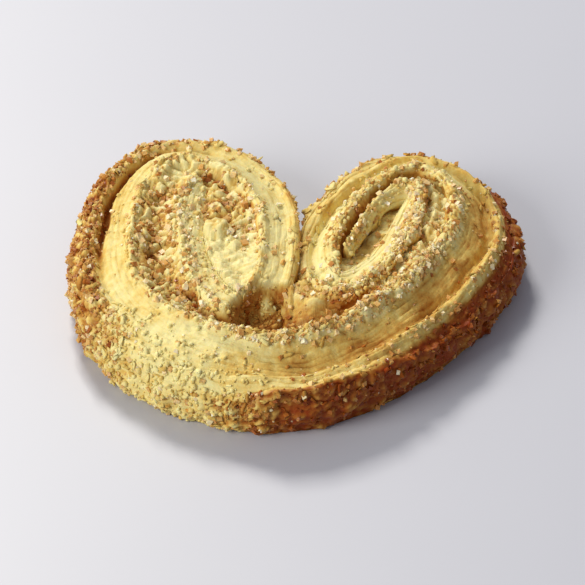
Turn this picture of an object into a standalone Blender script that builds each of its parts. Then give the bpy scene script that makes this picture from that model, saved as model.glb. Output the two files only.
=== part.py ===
"""A palmier: one slice of sugared, rolled puff pastry, baked until it opens into a heart.

The slice is one long pastry band seen edge on. It runs round the foot of the heart, up the outside
of each lobe, over its top, down beside the notch, and turns back up inside the lobe. Sugar fills
the channels between the turns, and a deeper pocket stays open where both scrolls meet the foot.
+X runs across the lobes, +Y from the foot to the notch, +Z up from the face it rests on.
"""

import math
import random

import bmesh
import bpy
import numpy as np
from mathutils import Matrix, Vector, noise
from mathutils.bvhtree import BVHTree

# Driving sizes, in metres
CREST_HEIGHT = 0.0106  # top of the pastry band, along its crest
CREST_FALL = 0.0017  # how far the band's top falls from the crest to its other edge
FOOT = (-0.0024, -0.0231)  # middle of the band at the foot of the heart
FOOT_HALF_WIDTH = 0.0050
BED_REACH = 0.0048  # how far the sugar bed runs inwards from the band's edge
UNDER_RECESS = 0.0012  # the bed's depth above the face it was baked on
POCKET_HEIGHT = 0.0034  # floor of the pocket between the scrolls and the foot
POCKET_MIDDLE = (-0.0010, -0.0105)
POCKET_RADIUS = 0.0072
POCKET_ALONG = (0.0048, 0.0125)  # the bed is low up to the first, and full from the second

# Each lobe has its own frame, which leans outwards from +Y by lean degrees. A station is
# (outwards, upwards, half width) from centre, and the band passes them in this order.
# The beds are the heights of the sugar in the outer channel and in the core of the scroll.
LOBES = (
    {
        "side": -1,
        "lean": 9,
        "centre": (-0.0135, 0.0055),
        "channel_bed": 0.0091,
        "core_bed": 0.0088,
        "outer": (0.0140, -0.0082, 0.0044),
        "top": (0.0024, 0.0166, 0.0034),
        "notch": (-0.0106, 0.0005, 0.0031),
        "turn": (-0.0044, -0.0182, 0.0029),
        "inner": (0.0017, -0.0030, 0.0024),
        "tip": (-0.0008, 0.0078, 0.0018),
    },
    {
        "side": 1,
        "lean": 20,
        "centre": (0.0130, 0.0066),
        "channel_bed": 0.0093,
        "core_bed": 0.0064,
        "outer": (0.0120, 0.0000, 0.0054),
        "top": (-0.0012, 0.0156, 0.0038),
        "notch": (-0.0090, -0.0010, 0.0034),
        "turn": (-0.0026, -0.0138, 0.0032),
        "inner": (0.0016, -0.0040, 0.0026),
        "tip": (-0.0006, 0.0076, 0.0016),
        "core": (-0.0034, 0.0010, 0.0008),
    },
)
# 1 where the band's top falls to its outer edge, 0 where it falls to its inner edge
FALLS_OUTWARDS = {"outer": 1, "top": 1, "notch": 1, "turn": 0.5, "inner": 0, "tip": 0, "core": 0}
CHANNEL_STATIONS = ("outer", "top")  # the bed beside these lies in the outer channel
STEPS_PER_TURN = 24  # points on each quarter turn of the route

# The band's cross-section: across is -1 at its inner edge and 1 at its outer edge
WALL_STEPS = 7
TOP_STEPS = 13
EDGE_ROUND = 0.0009
EDGE_SQUARENESS = 6  # the higher, the flatter the top between its rounded edges
WALL_BULGE = 0.12  # share of the half width
WALL_FOOT = 0.93  # the walls draw in where they meet the tray
WALL_FOOT_SHARE = 0.3  # of the wall's height
SECTION_BELOW = 0.0006  # the section starts below the resting face, which is cut flat

# Relief, as (height, size of one lump)
BAND_SWELL = (0.0007, 0.0150)
CRUST_LUMPS = (0.0004, 0.0045)
SUGAR_LUMPS = (0.0007, 0.0026)
RIM_CRAGS = (0.0010, 0.0036)
GROOVE_DEPTH = 0.0016  # between the band and the browned leaf on its outer side
GROOVE_ACROSS = 0.35
GROOVE_HALF_WIDTH = 0.26
GROOVE_FROM_FOOT = (0.0100, 0.0240)  # the groove opens between these distances along the band
GROOVE_WANDER = 0.013  # the groove's depth varies over stretches of this length

VOXEL = 0.0005
BODY_TRIANGLES = 7000
GRAIN_SIDE = (0.0010, 0.0017)  # side of a coarse sugar grain, least and most
GRAIN_SKEW = (0.80, 1.25)  # how far a grain's corners lie from a true cube's
GRAIN_TILT = (0.2, 1.2)  # radians
GRAIN_SINK = 0.2  # share of its side that a grain on the rim lies deeper than half
GRAIN_STEP = (0.2, 0.8)  # where in its own stretch of the band a grain may lie
CHANNEL_GRAINS = 56
CHANNEL_GRAIN_INSET = (0.0004, 0.0030)  # from the band's edge
RIM_GRAINS = 54
RIM_GRAIN_HEIGHT = (0.25, 0.88)  # share of the crest's height
RAY_START = 0.02  # rays that place the grains start this far out
GRAIN_SEED = 11

SHARP_ANGLE = 50  # degrees
PASTRY_COLOUR = (0.66, 0.43, 0.17, 1.0)
PASTRY_ROUGHNESS = 0.62


def eased(value, low, high):
    """0 up to low and 1 from high, smooth in between."""
    share = min(1.0, max(0.0, (value - low) / (high - low)))
    return share * share * (3 - 2 * share)


def quarter_turn(start, start_way, end, end_way):
    """Points on the quarter ellipse that leaves start along start_way and reaches end along end_way."""
    reach = np.linalg.solve(np.column_stack([start_way, end_way]), end - start)
    centre = start + reach[1] * end_way
    angle = np.linspace(0, math.pi / 2, STEPS_PER_TURN, endpoint=False)[:, None]
    return centre + reach[0] * start_way * np.sin(angle) - reach[1] * end_way * np.cos(angle)


def lobe_stations(lobe):
    """(place, way, values) where the band passes, with values (half width, bed, falls outwards)."""
    side = lobe["side"]
    lean = math.radians(lobe["lean"])
    up = np.array([side * math.sin(lean), math.cos(lean)])
    out = np.array([side * math.cos(lean), -math.sin(lean)])
    ways = {"outer": up, "top": -out, "notch": -up, "turn": out, "inner": up, "tip": -out, "core": -up}
    first = (FOOT_HALF_WIDTH, lobe["channel_bed"], 1)
    stations = [(np.array(FOOT), np.array([side, 0.0]), np.array(first))]
    for name, way in ways.items():
        if name in lobe:
            outwards, upwards, half_width = lobe[name]
            place = np.array(lobe["centre"]) + outwards * out + upwards * up
            bed = lobe["channel_bed"] if name in CHANNEL_STATIONS else lobe["core_bed"]
            stations.append((place, way, np.array([half_width, bed, FALLS_OUTWARDS[name]])))
    return stations


def lobe_route(lobe):
    """The band's middle line and its values, from the foot to the end inside one lobe."""
    stations = lobe_stations(lobe)
    share = np.linspace(0, 1, STEPS_PER_TURN, endpoint=False)[:, None]
    blend = share * share * (3 - 2 * share)
    points = []
    values = []
    for (start, start_way, before), (end, end_way, after) in zip(stations, stations[1:]):
        points.append(quarter_turn(start, start_way, end, end_way))
        values.append(before + (after - before) * blend)
    points.append(stations[-1][0][None])
    values.append(stations[-1][2][None])
    return np.concatenate(points), np.concatenate(values)


class Route:
    """The whole band from the left end to the right one, with the outside of the heart on its right."""

    def __init__(self):
        left, left_values = lobe_route(LOBES[0])
        right, right_values = lobe_route(LOBES[1])
        self.points = np.concatenate([left[::-1], right[1:]])
        self.half_widths, self.beds, self.falls = np.concatenate([left_values[::-1], right_values[1:]]).T
        foot = len(left) - 1
        to_notch = 3 * STEPS_PER_TURN
        self.rim = (foot - to_notch, foot + to_notch)
        self.scrolls = (0, len(self.points) - 1 - STEPS_PER_TURN)
        steps = np.linalg.norm(np.diff(self.points, axis=0), axis=1)
        self.length = np.concatenate([[0], np.cumsum(steps)])
        self.length -= self.length[foot]
        ways = np.gradient(self.points, axis=0)
        ways /= np.linalg.norm(ways, axis=1)[:, None]
        self.outwards = np.column_stack([ways[:, 1], -ways[:, 0]])

    def nearest(self, places):
        """For each (x, y): the number of the route point whose band is nearest, and the place across it."""
        numbers = np.empty(len(places), int)
        for start in range(0, len(places), 4000):
            block = places[start : start + 4000]
            gaps = np.linalg.norm(block[:, None, :] - self.points[None, :, :], axis=2)
            numbers[start : start + 4000] = (gaps - self.half_widths).argmin(1)
        offset = ((places - self.points[numbers]) * self.outwards[numbers]).sum(1)
        return numbers, offset / self.half_widths[numbers]


def clear_scene():
    for obj in list(bpy.data.objects):
        bpy.data.objects.remove(obj, do_unlink=True)


def collection_named(name):
    made = bpy.data.collections.new(name)
    bpy.context.scene.collection.children.link(made)
    return made


def move_to(obj, collection):
    for holder in list(obj.users_collection):
        holder.objects.unlink(obj)
    collection.objects.link(obj)


def pastry_material():
    made = bpy.data.materials.new("baked_pastry")
    made.use_nodes = True
    shader = made.node_tree.nodes["Principled BSDF"]
    shader.inputs["Base Color"].default_value = PASTRY_COLOUR
    shader.inputs["Roughness"].default_value = PASTRY_ROUGHNESS
    shader.inputs["Metallic"].default_value = 0.0
    return made


def loft(name, rings):
    """A closed mesh through rings of equal length, with its two ends capped."""
    count, sides = rings.shape[:2]
    faces = []
    for ring in range(count - 1):
        for side in range(sides):
            after = (side + 1) % sides
            here, there = ring * sides, (ring + 1) * sides
            faces.append((here + side, there + side, there + after, here + after))
    faces.append(tuple(range(sides)))
    faces.append(tuple(reversed(range((count - 1) * sides, count * sides))))
    mesh = bpy.data.meshes.new(name)
    mesh.from_pydata(rings.reshape(-1, 3).tolist(), [], faces)
    mesh.update()
    return bpy.data.objects.new(name, mesh)


def band_section():
    """(across, share of the height) round the band's section, from the foot of its outer wall."""
    round_share = EDGE_ROUND / CREST_HEIGHT
    outer_wall = []
    for share in np.linspace(0, 1, WALL_STEPS, endpoint=False):
        foot = WALL_FOOT + (1 - WALL_FOOT) * eased(share, 0.0, WALL_FOOT_SHARE)
        across = foot + WALL_BULGE * math.sin(math.pi * share)
        outer_wall.append((across, share * (1 - round_share)))
    top = []
    for across in np.linspace(1, -1, TOP_STEPS):
        rounding = 1 - math.sqrt(max(0.0, 1 - abs(across) ** EDGE_SQUARENESS))
        top.append((across, 1 - round_share * rounding))
    inner_wall = [(-across, share) for across, share in reversed(outer_wall)]
    return np.array(outer_wall + top + inner_wall)


def top_height(across, falls_outwards):
    """The height of the band's top, which falls from its crest to its outer or its inner edge."""
    place = np.clip(across, -1, 1)
    outwards = ((1 + place) / 2) ** 1.5
    inwards = ((1 - place) / 2) ** 1.5
    return CREST_HEIGHT - CREST_FALL * (falls_outwards * outwards + (1 - falls_outwards) * inwards)


def band_rings(route):
    across, share = band_section().T
    rings = np.empty((len(route.points), len(across), 3))
    for number, (point, outwards) in enumerate(zip(route.points, route.outwards)):
        height = top_height(across, route.falls[number])
        rings[number, :, :2] = point + (across * route.half_widths[number])[:, None] * outwards
        rings[number, :, 2] = share * (height + SECTION_BELOW) - SECTION_BELOW
    return rings


def bed_rings(route):
    """The sugar bed: a strip along the band's inner side, which sinks to the floor of the pocket."""
    rings = np.empty((len(route.points), 4, 3))
    for number, (point, outwards) in enumerate(zip(route.points, route.outwards)):
        full = eased(abs(route.length[number]), *POCKET_ALONG)
        height = POCKET_HEIGHT + (route.beds[number] - POCKET_HEIGHT) * full
        inner = -(route.half_widths[number] + BED_REACH)
        corners = ((0.0, UNDER_RECESS), (0.0, height), (inner, height), (inner, UNDER_RECESS))
        for corner, (across, level) in enumerate(corners):
            rings[number, corner, :2] = point + across * outwards
            rings[number, corner, 2] = level
    return rings


def pocket_floor():
    """A block under the pocket, so that the two scrolls and the foot close over a floor."""
    bpy.ops.mesh.primitive_cylinder_add(
        vertices=24,
        radius=POCKET_RADIUS,
        depth=POCKET_HEIGHT - UNDER_RECESS,
        location=(*POCKET_MIDDLE, (POCKET_HEIGHT + UNDER_RECESS) / 2),
    )
    return bpy.context.object


def apply_modifiers(obj):
    """Replaces obj's mesh by what its modifiers make of it."""
    graph = bpy.context.evaluated_depsgraph_get()
    made = bpy.data.meshes.new_from_object(obj.evaluated_get(graph))
    obj.modifiers.clear()
    obj.data = made


def fused(name, pieces):
    """One closed skin round the pieces, which overlap."""
    with bpy.context.temp_override(active_object=pieces[0], selected_editable_objects=pieces):
        bpy.ops.object.join()
    body = pieces[0]
    body.name = name
    body.data.name = name
    skin = body.modifiers.new("skin", "REMESH")
    skin.mode = "VOXEL"
    skin.voxel_size = VOXEL
    apply_modifiers(body)
    return body


def lumps(place, relief, layer):
    """Smooth noise from -height to height, one lump about as wide as its size."""
    height, size = relief
    return height * noise.noise(Vector((place[0] / size, place[1] / size, place[2] / size + layer)))


def groove(across, length, falls_outwards):
    """Depth of the split beside the browned outer leaf, which comes and goes along the band."""
    beside = abs(across - GROOVE_ACROSS) / GROOVE_HALF_WIDTH
    if beside >= 1:
        return 0.0
    opening = eased(abs(length), *GROOVE_FROM_FOOT) * falls_outwards
    along = 0.8 + 0.5 * noise.noise(Vector((length / GROOVE_WANDER, 0.0, 0.0)))
    return GROOVE_DEPTH * (1 - beside * beside) * opening * along


def shape_relief(body, route):
    """Lumps on the crust and the sugar, the groove along the band, and crags on the walls."""
    mesh = body.data
    places = np.array([vertex.co[:] for vertex in mesh.vertices])
    numbers, across = route.nearest(places[:, :2])
    moves = []
    for vertex, number, side in zip(mesh.vertices, numbers, across):
        place, facing = vertex.co, vertex.normal
        if abs(side) < 1.0:
            rise = lumps(place, CRUST_LUMPS, 0.0) + lumps(place, BAND_SWELL, 3.0)
            rise -= groove(side, route.length[number], route.falls[number])
        else:
            rise = lumps(place, SUGAR_LUMPS, 0.0)
        rise *= max(0.0, facing.z)
        wall = lumps(place, RIM_CRAGS, 7.0) * (1 - abs(facing.z))
        moves.append(Vector((facing.x * wall, facing.y * wall, rise)))
    for vertex, move in zip(mesh.vertices, moves):
        vertex.co += move
    mesh.update()


def thin_out(body, triangles):
    """Fewer triangles, kept where the form needs them."""
    mesh = body.data
    mesh.calc_loop_triangles()
    reduce = body.modifiers.new("reduce", "DECIMATE")
    reduce.ratio = triangles / len(mesh.loop_triangles)
    reduce.use_collapse_triangulate = True
    apply_modifiers(body)


def cut_flat(body, cutters):
    """Cuts the resting face flat at z = 0."""
    bpy.ops.mesh.primitive_cube_add(size=0.1, location=(0, 0, -0.05))
    floor = bpy.context.object
    floor.name = "tray_plane"
    floor.hide_render = True
    floor.display_type = "WIRE"
    move_to(floor, cutters)
    cut = body.modifiers.new("flat_underside", "BOOLEAN")
    cut.operation = "DIFFERENCE"
    cut.solver = "EXACT"
    cut.object = floor
    apply_modifiers(body)


def sugar_grain(place, size, draw, collection):
    """A coarse sugar grain: an uneven block, half sunk where it lies."""
    mesh = bpy.data.meshes.new("grain")
    form = bmesh.new()
    bmesh.ops.create_cube(form, size=size)
    for corner in form.verts:
        corner.co *= draw.uniform(*GRAIN_SKEW)
    tilt = Matrix.Rotation(draw.uniform(*GRAIN_TILT), 3, "X")
    turn = Matrix.Rotation(draw.uniform(0, math.tau), 3, "Z")
    bmesh.ops.rotate(form, matrix=turn @ tilt, verts=form.verts)
    form.to_mesh(mesh)
    form.free()
    grain = bpy.data.objects.new("grain", mesh)
    grain.location = place
    collection.objects.link(grain)


def stretches(count, first, last, draw):
    """One route point in each of count equal stretches from first to last."""
    for number in range(count):
        yield first + int((number + draw.uniform(*GRAIN_STEP)) / count * (last - first))


def scatter_grains(body, route, collection):
    """Spreads grains evenly along the channels and round the rim, with a small random shift."""
    draw = random.Random(GRAIN_SEED)
    tree = BVHTree.FromObject(body, bpy.context.evaluated_depsgraph_get())
    for at in stretches(CHANNEL_GRAINS, *route.scrolls, draw):
        inside = route.half_widths[at] + draw.uniform(*CHANNEL_GRAIN_INSET)
        place = route.points[at] - inside * route.outwards[at]
        hit = tree.ray_cast(Vector((*place, RAY_START)), Vector((0, 0, -1)))[0]
        if hit is not None:
            sugar_grain(hit, draw.uniform(*GRAIN_SIDE), draw, collection)
    for at in stretches(RIM_GRAINS, *route.rim, draw):
        outwards = Vector((*route.outwards[at], 0.0))
        height = draw.uniform(*RIM_GRAIN_HEIGHT) * CREST_HEIGHT
        hit = tree.ray_cast(Vector((*route.points[at], height)) + outwards * RAY_START, -outwards)[0]
        if hit is not None:
            size = draw.uniform(*GRAIN_SIDE)
            sugar_grain(hit - outwards * GRAIN_SINK * size, size, draw, collection)


def join_grains(body, grains):
    """Fuses the grains to the body and removes them."""
    join = body.modifiers.new("sugar", "BOOLEAN")
    join.operation = "UNION"
    join.operand_type = "COLLECTION"
    join.collection = grains
    join.solver = "MANIFOLD"
    apply_modifiers(body)
    for grain in list(grains.objects):
        bpy.data.objects.remove(grain, do_unlink=True)
    bpy.data.collections.remove(grains)


def keep_largest_shell(body):
    """Drops loose scraps, and fills hollows that the joins closed off."""
    form = bmesh.new()
    form.from_mesh(body.data)
    left = set(form.verts)
    shells = []
    while left:
        shell = set()
        edge_of_shell = [left.pop()]
        while edge_of_shell:
            vertex = edge_of_shell.pop()
            shell.add(vertex)
            for edge in vertex.link_edges:
                other = edge.other_vert(vertex)
                if other in left:
                    left.remove(other)
                    edge_of_shell.append(other)
        shells.append(shell)
    largest = max(shells, key=len)
    scraps = [vertex for shell in shells if shell is not largest for vertex in shell]
    bmesh.ops.delete(form, geom=scraps, context="VERTS")
    form.to_mesh(body.data)
    form.free()


def centre_on_base(body):
    """Puts the origin at the middle of the face it rests on."""
    corners = np.array([vertex.co[:] for vertex in body.data.vertices])
    middle = (corners.min(0) + corners.max(0)) / 2
    body.data.transform(Matrix.Translation((-middle[0], -middle[1], 0.0)))


def main():
    clear_scene()
    food = collection_named("palmier")
    cutters = collection_named("cutters")
    route = Route()
    pieces = [
        loft("band", band_rings(route)),
        loft("sugar_bed", bed_rings(route)),
        pocket_floor(),
    ]
    for piece in pieces:
        move_to(piece, food)
    body = fused("palmier", pieces)
    shape_relief(body, route)
    thin_out(body, BODY_TRIANGLES)
    cut_flat(body, cutters)
    grains = collection_named("grains")
    scatter_grains(body, route, grains)
    join_grains(body, grains)
    keep_largest_shell(body)
    centre_on_base(body)
    body.data.materials.clear()
    body.data.materials.append(pastry_material())
    body.data.shade_smooth()
    body.data.set_sharp_from_angle(angle=math.radians(SHARP_ANGLE))


main()
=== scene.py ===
"""The looks of the palmier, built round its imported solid.

The pastry is one long band seen edge on, with fine leaves that run along it. It is lofted at high
resolution along the same route as the solid, and the sugar between its turns is a bed of lumps.
Sugar grains, pastry crumbs and loose leaves are real meshes that lie on both.
Everything is in metres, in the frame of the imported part.
"""

import math

import bmesh
import bpy
import numpy as np
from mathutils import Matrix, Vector, noise


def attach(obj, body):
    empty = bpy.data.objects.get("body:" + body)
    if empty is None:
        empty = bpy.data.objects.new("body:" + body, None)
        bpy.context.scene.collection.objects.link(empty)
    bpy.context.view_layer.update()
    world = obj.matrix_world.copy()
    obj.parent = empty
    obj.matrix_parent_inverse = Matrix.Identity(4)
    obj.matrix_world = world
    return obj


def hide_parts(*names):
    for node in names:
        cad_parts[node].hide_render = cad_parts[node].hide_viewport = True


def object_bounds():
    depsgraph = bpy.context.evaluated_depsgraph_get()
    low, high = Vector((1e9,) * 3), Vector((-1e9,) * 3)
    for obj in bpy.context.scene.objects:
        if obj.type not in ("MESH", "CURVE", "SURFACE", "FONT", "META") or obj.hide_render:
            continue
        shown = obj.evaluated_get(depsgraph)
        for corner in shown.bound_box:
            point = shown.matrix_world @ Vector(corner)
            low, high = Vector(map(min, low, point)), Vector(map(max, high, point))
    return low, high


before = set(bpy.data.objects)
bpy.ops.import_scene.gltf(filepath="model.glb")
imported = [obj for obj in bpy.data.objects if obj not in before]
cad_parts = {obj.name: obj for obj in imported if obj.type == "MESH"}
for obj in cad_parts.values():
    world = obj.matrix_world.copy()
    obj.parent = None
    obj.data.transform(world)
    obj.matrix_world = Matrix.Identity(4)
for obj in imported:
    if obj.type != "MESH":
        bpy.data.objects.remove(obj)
CAD_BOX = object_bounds()

MM = 0.001
HEART_SHIFT = (0.00032, 0.00146)  # where the route's own origin lies in the part's frame

# The driving sizes, the same as the solid's
CREST_HEIGHT = 0.0106
CREST_FALL = 0.0017
FOOT = (-0.0024, -0.0231)
FOOT_HALF_WIDTH = 0.0050
POCKET_HEIGHT = 0.0034
POCKET_ALONG = (0.0048, 0.0125)  # the bed is low up to the first, and full from the second
UNDER_RECESS = 0.0012
LEFT_LOBE = {
    "side": -1,
    "lean": 9,
    "centre": (-0.0135, 0.0055),
    "channel_bed": 0.0091,
    "core_bed": 0.0088,
    "outer": (0.0140, -0.0082, 0.0044),
    "top": (0.0024, 0.0166, 0.0034),
    "notch": (-0.0106, 0.0005, 0.0031),
    "turn": (-0.0044, -0.0182, 0.0029),
    "inner": (0.0017, -0.0030, 0.0024),
    "tip": (-0.0008, 0.0078, 0.0018),
}
RIGHT_LOBE = {
    "side": 1,
    "lean": 20,
    "centre": (0.0130, 0.0066),
    "channel_bed": 0.0093,
    "core_bed": 0.0064,
    "outer": (0.0120, 0.0000, 0.0054),
    "top": (-0.0012, 0.0156, 0.0038),
    "notch": (-0.0090, -0.0010, 0.0034),
    "turn": (-0.0026, -0.0138, 0.0032),
    "inner": (0.0016, -0.0040, 0.0026),
    "tip": (-0.0006, 0.0076, 0.0016),
    "core": (-0.0034, 0.0010, 0.0008),
    "tail": 0.0088,
}
FALLS_OUTWARDS = {"outer": 1, "top": 1, "notch": 1, "turn": 0.5, "inner": 0, "tip": 0, "core": 0}
TURN, INNER, TIP = 4, 5, 6  # their places in the order of the stations, the foot being 0
CHANNEL_STATIONS = ("outer", "top")
TAIL_NARROWING = 0.4  # share of its width that the band loses along its tail
STEPS_PER_TURN = 48
RING_STEP = 0.00042  # between two rings of the band
BEND_RINGS = 7  # the bend of the route is evened out over so many
LEAST_BEND = 1.0  # per metre
BLOCK = 4000  # places that are measured from the route at a time

# The band's cross-section
WALL_STEPS = 24
TOP_STEPS = 76
UNDER_STEPS = 18
TOP_SPREAD = 0.9  # the higher, the closer the top's points lie at its edges
EDGE_ROUND = 0.0009
EDGE_SQUARENESS = 6
WALL_BULGE = 0.12
WALL_FOOT = 0.93
WALL_FOOT_SHARE = 0.3
SECTION_HALF_WIDTH = 0.0035  # a usual one, for the section's normals
FALL_CURVE = 1.5
TOP_FACING = (0.2, 0.9)  # a point that faces up so far begins to count as top, and does
UNDER_FACING = (0.5, 0.95)

# Stretches of the band, by the distance from the foot, which is negative on the left. A span is where
# something begins, is full, starts to end and has ended. A bump is a middle and a half length
RIGHT_SIDE = (-0.014, 0.010)  # the left lobe's form changes to the right one's between these
FRONT_SPAN = (-0.028, -0.020, -0.006, 0.002)
FOOT_SPAN = (-0.020, -0.008, 0.030, 0.050)
STEEP_SPAN = (0.004, 0.030, 0.056, 0.070)
SCROLL_EDGE_SPAN = (0.082, 0.088, 0.102, 0.108)
TUCK_BUMP = (0.024, 0.022)
# the left band's painted shade lies over this bump
LEFT_BAND_SHADE_BUMP = (-0.046, 0.034)

# Relief of the band, as (height, size of one lump)
BAND_SWELL = (0.0007, 0.0150)
CRUST_LUMPS = (0.0004, 0.0045)
CRUMB_RELIEF = (0.00014, 0.0008)
RIM_CRAGS = (0.0010, 0.0036)
UNDER_DENTS = (0.00016, 0.0016)
UNDER_SUNK = 0.00018
CLODS = ((0.7, 0.0013), (0.3, 0.0006))  # of sugar, as (share, size)
CLOD_RISE = 0.00072
CLOD_STEEPNESS = 2.6
CLOD_TOP = 1.2
STREAK_HEIGHT = 0.00022  # of the fine streaks across the rim's wall
STREAK_SIZE = (0.0011, 0.0050)  # along the band, and up the wall

# Forms along the band. The first of two values is for the left lobe, the second for the right one
GROOVE_DEPTH = 0.0022
GROOVE_ACROSS = (0.22, 0.20)
GROOVE_HALF_WIDTH = 0.0010
GROOVE_WANDER = 0.013
GROOVE_WIGGLE = 0.10  # how far it strays, as a share of the band's half width
GROOVE_WIGGLE_LENGTH = 0.0050
# How far the groove has opened, by the distance from the foot in mm
GROOVE_OPENING = (
    (-90, 0.10),
    (-68, 0.12),
    (-59, 0.90),
    (-38, 1.00),
    (-29, 0.20),
    (-22, 0.00),
    (14, 0.00),
    (26, 0.50),
    (56, 0.45),
    (90, 0.30),
)
OUTER_LEAF_FROM = 0.35  # the outer leaf begins so many of its half widths from its middle
OUTER_LEAF_EDGE = 0.0008  # and over what width
OUTER_CREST_ACROSS = (0.80, 0.48)
OUTER_CREST_HALF_WIDTH = 0.0012
OUTER_CREST_HEIGHT = (0.00050, 0.00080)
INNER_CREST_ACROSS = (-0.76, 0.80)  # where the top falls outwards, and where it falls inwards
INNER_CREST_HALF_WIDTH = (0.0010, 0.0024)
INNER_CREST_HEIGHT = 0.00070
CREST_LUMP = 0.0032  # length of one lump of a crest
TROUGH_ACROSS = (-0.15, 0.20)
TROUGH_HALF_WIDTH = 0.95
TROUGH_DEPTH = (0.0004, 0.0020)
TUCK = 0.0011  # how far the rim's foot is tucked in at the front right
TUCK_CURVE = 1.5
LEAF_PITCH = 0.00075  # from one leaf of the pastry to the next
LEAF_RISE = 0.00022  # how far two leaves may differ in height
LEAF_GAP = 0.00019  # depth of the gap between two leaves
LEAVES_BY_SIDE = (0.6, 1.0)  # how plainly the leaves show
LEAF_BODY = (0.0, 0.24, 0.80, 1.0)  # a span across one leaf, with its gap at both ends
LEAF_LEVEL_LENGTH = 0.0062  # over which a leaf's height changes
LEAF_GAP_LENGTH = 0.0036
# How far the leaves stray, as (share of their pitch, length along the band, width across it, layer)
LEAF_BEND = (0.75, 0.0075, 0.0040, 13.0)
LEAF_WOBBLE = (0.22, 0.0019, 0.0012, 17.0)
LEAF_CROWDING = (0.80, 0.0400, 0.0021, 29.0)

# Edges that are baked down, and where across the band each begins and is full
FRONT_BEVEL = 0.0028  # the pale front left one
FRONT_ACROSS = (0.25, 1.05)
CRUMBLY_ACROSS = (-0.2, 0.5)  # and where its slope is crumbly
STEEP_BEVEL = 0.0023  # the rim's from the foot round the right lobe
STEEP_ACROSS = (0.45, 1.0)
SCROLL_BEVEL = 0.0014  # the right scroll's above the pocket
SCROLL_ACROSS = (0.3, 1.0)
SCOOP_AT = (-0.0008, -0.0148)  # the pocket's middle, round which the left scroll's corner has sunk
SCOOP_RADIUS = 0.0082
SCOOP_EDGE = 0.0019
SCOOP_DEPTH = 0.0036
LUMP_AT = (-0.0032, -0.0092)  # a pale sugar lump on that corner
LUMP_RADIUS = 0.0017
LUMP_HEIGHT = 0.0016

# The scrolls, by the order of the stations
SCOOP_ORDER = (TURN - 1.1, TURN - 0.8)
RIGHT_SCROLL_SPAN = (TURN - 0.5, TURN + 0.2, TIP - 0.1, TIP + 0.4)
RIGHT_SCROLL_ACROSS = (-0.35, 0.15)  # where across the band its sugar begins and is full
LEFT_TURN_ORDER = (TURN - 0.1, INNER - 0.4)
LEFT_TURN_ACROSS = (-1.0, -0.2)
LEFT_TIP_ORDER = (TIP - 0.45, TIP - 0.1)

# The sugar bed
BED_STEP = 0.00026
BED_REACH = 0.032
BED_OVERLAP = 0.0009  # how far the bed runs in under the band
HEIGHT_ROUNDS, FULL_ROUNDS = 16, 10  # how often its height and its fullness are smoothed
POCKET_ALONG_RIGHT = (0.0140, 0.0280)  # as POCKET_ALONG, in the right lobe
SLOPE_TOP = 0.95  # share of the full height, under the right scroll
SLOPE_INWARDS = (0.0004, 0.0062)  # over these distances from the rim
SLOPE_ALONG = (0.002, 0.014)
HEAPED_ALONG = (0.017, 0.026)  # from here on the right lobe's channel is heaped
HEAP = 0.0012
EDGE_GAP = (0.0002, 0.0018)  # over these distances from the band, heaps rise and its fill ends
CORE_FILL = 0.0021  # sugar in the right lobe's slots
CORE_FILL_MORE = 0.0016  # and how much more at their far ends
CORE_FILL_FROM = (0.0125, 0.0155)
CORE_BEHIND = (0.001, 0.006)  # the left core is pale up to the first y, and browner from the second
PALE_CHANNEL = (0.011, 0.016)  # the left channel turns pale over these
EDGE_FILL = 0.0008  # how far the left lobe's sugar climbs the band beside it
CORE_LUMP_AT = (-0.0115, 0.0038)  # a pale lump in the left lobe's core
CORE_LUMP_RADIUS = 0.0022
CORE_LUMP_HEIGHT = 0.0013
BED_LUMPS = (0.0008, 0.0028)
BED_GRIT = (0.00010, 0.00045)
BED_CLODS = 0.0009
BED_HOLES = (0.0014, 0.0021)
HOLES_OPEN = (0.42, 0.62)  # in their own noise, so that only a few open
BED_PATCH = 0.0045
UNDER_LUMPS = 0.0004
UNDER_CLODS = 0.0003

BOX_ROOM = 0.0003  # how far the looks may pass the solid's own box
HELD_FROM = 0.0109  # heights above this are pressed into the next range
HELD_RANGE = 0.0008

# Browning, with painted shade in some entries, from 0 where the pastry is palest to 1 where it is darkest
BAKED = {
    "top": 0.06,
    "left band's painted shade": 0.17,  # added to the top's, like the next two; this one is painted shade that dims the brightly lit left band
    "right slope's painted shade": 0.40,
    "scroll edge and its painted shade": 0.45,
    "inner crest": 0.29,
    "outer crest": 0.30,
    "foot crest": 0.20,
    "right scroll": 0.16,
    "left scroll": 0.12,
    "scoop and its painted shade": 0.60,
    "groove": (0.72, 0.42),  # real browning with painted shade over it in the groove, in the left lobe and in the right one
    "inside wall": 0.56,
    "inside wall's foot": 0.34,  # added towards it
    "underside": 0.60,
    "bed": 0.31,
}
BROWN_PATCH = 0.0060  # length of one patch
# Browning along the rim, as (distance from the foot in mm, of the wall, of the outer leaf)
RIM_BROWNING = (
    (-90, 0.35, 0.20),
    (-66, 0.40, 0.26),
    (-58, 0.62, 0.52),
    (-52, 0.74, 0.70),
    (-28, 0.66, 0.58),
    (-20, 0.36, 0.34),
    (-16, 0.22, 0.05),
    (-8, 0.22, 0.04),
    (-3, 0.55, 0.16),
    (3, 0.92, 0.26),
    (12, 1.02, 0.30),
    (38, 1.02, 0.34),
    (52, 0.92, 0.30),
    (62, 0.60, 0.22),
    (70, 0.45, 0.20),
    (90, 0.40, 0.20),
)
DARK_WALL = (0.7, 0.9)  # browning from which less sugar lies on the wall

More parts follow.
